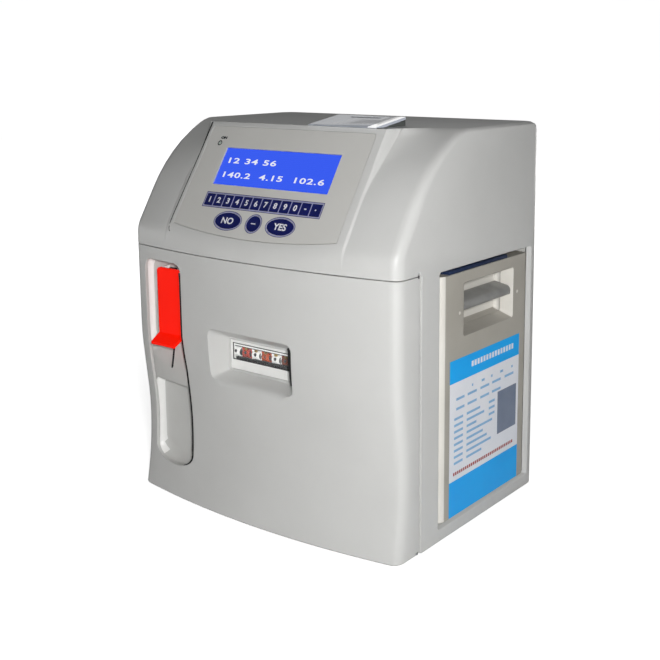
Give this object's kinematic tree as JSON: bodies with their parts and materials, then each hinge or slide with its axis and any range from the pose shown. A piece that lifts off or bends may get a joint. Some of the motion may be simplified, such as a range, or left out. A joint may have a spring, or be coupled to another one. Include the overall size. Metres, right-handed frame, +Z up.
{
  "type": "electrolyte analyzer",
  "caption": "Bench electrolyte analyzer with bowed front door, sloped display console with keys, red sample flap, electrode window, top printer and slide-out reagent pack in the side.",
  "frame": {"origin": "on the bench, under the middle of the cabinet", "axes": "+Z up, the front with display and door faces -Y, the reagent pack is at +X"},
  "size_m": [0.3004, 0.2385, 0.3561],
  "materials": {
    "case_gray": "fine satin moulding, warm gray",
    "well_gray": "satin moulding, pale gray",
    "zinc_steel": "zinc plated sheet",
    "painted_steel": "gray paint on sheet steel",
    "foot_rubber": "matt black",
    "black_nylon": "satin black",
    "bright_steel": "ground bright",
    "frame_gray": "light gray, smooth",
    "clear_acrylic": "clear",
    "ferrite": "black, satin",
    "red_gloss": "bright red, glossy",
    "dark_steel": "dark needle",
    "white_acetal": "white, satin",
    "electrode_red": "red ring",
    "electrode_white": "white",
    "electrode_orange": "orange",
    "electrode_brown": "brown red",
    "pump_gray": "dark gray",
    "silicone": "translucent, soft",
    "blued_steel": "dark",
    "circuit_board": "green lacquer",
    "display_blue": "lit blue display",
    "overlay_film": "printed film, satin",
    "led_lens": "green lens",
    "key_navy": "navy printed",
    "printer_dark": "dark gray",
    "lid_white": "white gray",
    "paper": "white paper",
    "bay_gray": "dark gray",
    "pack_beige": "gray beige",
    "handle_gray": "dark gray"
  },
  "bodies": {
    "cabinet": {"main_casing": "case_gray", "base_plate": "zinc_steel", "foot_front_left": "foot_rubber", "foot_front_right": "foot_rubber", "foot_rear_left": "foot_rubber", "foot_rear_right": "foot_rubber", "bulkhead": "painted_steel", "rear_panel": "painted_steel", "power_inlet": "black_nylon", "hinge_bracket": "bright_steel", "hinge_pin": "bright_steel", "door_magnet": "ferrite", "sample_well": "well_gray", "flap_pin": "bright_steel", "electrode_holder": "white_acetal", "electrode_1": "electrode_red", "electrode_2": "electrode_white", "electrode_3": "electrode_orange", "electrode_4": "electrode_white", "electrode_5": "electrode_brown", "pump_housing": "pump_gray", "pump_tube": "silicone", "pinch_valve": "blued_steel", "main_board": "circuit_board", "power_supply": "zinc_steel", "lcd_module": "display_blue", "keypad_overlay": "overlay_film", "power_led": "led_lens", "printer_body": "printer_dark", "bay_liner": "bay_gray"},
    "door": {"front_door": "case_gray", "window_frame": "frame_gray", "window_lens": "clear_acrylic"},
    "flap": {"sample_flap": "red_gloss"},
    "probe": {"probe_arm": "black_nylon", "sample_probe": "dark_steel"},
    "clamp": {"clamp_lever": "black_nylon"},
    "rotor": {"pump_rotor": "white_acetal"},
    "rocker": {"power_switch": "black_nylon"},
    "lid": {"printer_lid": "lid_white"},
    "platen": {"platen_roller": "foot_rubber"},
    "paper": {"paper_roll": "paper"},
    "pack": {"pack_case": "pack_beige", "pack_cover": "pack_beige"},
    "grip": {"pack_handle": "handle_gray"},
    "key_1": {"key_1": "key_navy"},
    "key_2": {"key_2": "key_navy"},
    "key_3": {"key_3": "key_navy"},
    "key_4": {"key_4": "key_navy"},
    "key_5": {"key_5": "key_navy"},
    "key_6": {"key_6": "key_navy"},
    "key_7": {"key_7": "key_navy"},
    "key_8": {"key_8": "key_navy"},
    "key_9": {"key_9": "key_navy"},
    "key_0": {"key_0": "key_navy"},
    "key_minus": {"key_minus": "key_navy"},
    "key_point": {"key_point": "key_navy"},
    "key_no": {"key_no": "key_navy"},
    "key_dash": {"key_dash": "key_navy"},
    "key_yes": {"key_yes": "key_navy"}
  },
  "joints": [
    {"name": "door_hinge", "type": "hinge", "parent": "cabinet", "child": "door", "pos_m": [0.1465, -0.0767, 0.12], "axis": [0, 0, 1], "range_deg": [0, 95]},
    {"name": "flap_lift", "type": "hinge", "parent": "cabinet", "child": "flap", "pos_m": [-0.101, -0.101, 0.216], "axis": [-1, 0, 0], "range_deg": [0, 90]},
    {"name": "probe_swing", "type": "hinge", "parent": "cabinet", "child": "probe", "pos_m": [-0.103, -0.101, 0.216], "axis": [-1, 0, 0], "range_deg": [0, 45]},
    {"name": "clamp_turn", "type": "hinge", "parent": "cabinet", "child": "clamp", "pos_m": [0.0377, -0.09, 0.1495], "axis": [0, 1, 0], "range_deg": [0, 80]},
    {"name": "rotor_spin", "type": "hinge", "parent": "cabinet", "child": "rotor", "pos_m": [0.098, -0.085, 0.0984], "axis": [0, 1, 0], "continuous": true},
    {"name": "rocker_tip", "type": "hinge", "parent": "cabinet", "child": "rocker", "pos_m": [-0.02, 0.1139, 0.079], "axis": [1, 0, 0], "range_deg": [0, 14]},
    {"name": "lid_open", "type": "hinge", "parent": "cabinet", "child": "lid", "pos_m": [0.055, -0.00989, 0.3542], "axis": [-1, 0, 0], "range_deg": [0, 80]},
    {"name": "platen_spin", "type": "hinge", "parent": "lid", "child": "platen", "pos_m": [0.055, -0.02339, 0.34688], "axis": [1, 0, 0], "continuous": true},
    {"name": "paper_spin", "type": "hinge", "parent": "cabinet", "child": "paper", "pos_m": [0.055, -0.02769, 0.3214], "axis": [1, 0, 0], "continuous": true},
    {"name": "pack_slide", "type": "slide", "parent": "cabinet", "child": "pack", "axis": [1, 0, 0], "range_m": [0, 0.1]},
    {"name": "grip_turn", "type": "hinge", "parent": "pack", "child": "grip", "pos_m": [0.1455, 0.03075, 0.197], "axis": [0, 1, 0], "range_deg": [0, 110]},
    {"name": "key_1_press", "type": "slide", "parent": "cabinet", "child": "key_1", "axis": [0, 0.8377, -0.5461], "range_m": [0, 0.0004], "stiffness_N_per_m": 150},
    {"name": "key_2_press", "type": "slide", "parent": "cabinet", "child": "key_2", "axis": [0, 0.8377, -0.5461], "range_m": [0, 0.0004], "stiffness_N_per_m": 150},
    {"name": "key_3_press", "type": "slide", "parent": "cabinet", "child": "key_3", "axis": [0, 0.8377, -0.5461], "range_m": [0, 0.0004], "stiffness_N_per_m": 150},
    {"name": "key_4_press", "type": "slide", "parent": "cabinet", "child": "key_4", "axis": [0, 0.8377, -0.5461], "range_m": [0, 0.0004], "stiffness_N_per_m": 150},
    {"name": "key_5_press", "type": "slide", "parent": "cabinet", "child": "key_5", "axis": [0, 0.8377, -0.5461], "range_m": [0, 0.0004], "stiffness_N_per_m": 150},
    {"name": "key_6_press", "type": "slide", "parent": "cabinet", "child": "key_6", "axis": [0, 0.8377, -0.5461], "range_m": [0, 0.0004], "stiffness_N_per_m": 150},
    {"name": "key_7_press", "type": "slide", "parent": "cabinet", "child": "key_7", "axis": [0, 0.8377, -0.5461], "range_m": [0, 0.0004], "stiffness_N_per_m": 150},
    {"name": "key_8_press", "type": "slide", "parent": "cabinet", "child": "key_8", "axis": [0, 0.8377, -0.5461], "range_m": [0, 0.0004], "stiffness_N_per_m": 150},
    {"name": "key_9_press", "type": "slide", "parent": "cabinet", "child": "key_9", "axis": [0, 0.8377, -0.5461], "range_m": [0, 0.0004], "stiffness_N_per_m": 150},
    {"name": "key_0_press", "type": "slide", "parent": "cabinet", "child": "key_0", "axis": [0, 0.8377, -0.5461], "range_m": [0, 0.0004], "stiffness_N_per_m": 150},
    {"name": "key_minus_press", "type": "slide", "parent": "cabinet", "child": "key_minus", "axis": [0, 0.8377, -0.5461], "range_m": [0, 0.0004], "stiffness_N_per_m": 150},
    {"name": "key_point_press", "type": "slide", "parent": "cabinet", "child": "key_point", "axis": [0, 0.8377, -0.5461], "range_m": [0, 0.0004], "stiffness_N_per_m": 150},
    {"name": "key_no_press", "type": "slide", "parent": "cabinet", "child": "key_no", "axis": [0, 0.8377, -0.5461], "range_m": [0, 0.0004], "stiffness_N_per_m": 150},
    {"name": "key_dash_press", "type": "slide", "parent": "cabinet", "child": "key_dash", "axis": [0, 0.8377, -0.5461], "range_m": [0, 0.0004], "stiffness_N_per_m": 150},
    {"name": "key_yes_press", "type": "slide", "parent": "cabinet", "child": "key_yes", "axis": [0, 0.8377, -0.5461], "range_m": [0, 0.0004], "stiffness_N_per_m": 150}
  ],
  "couplings": [
    {"joint": "probe_swing", "follows": "flap_lift", "ratio": 0.5}
  ]
}
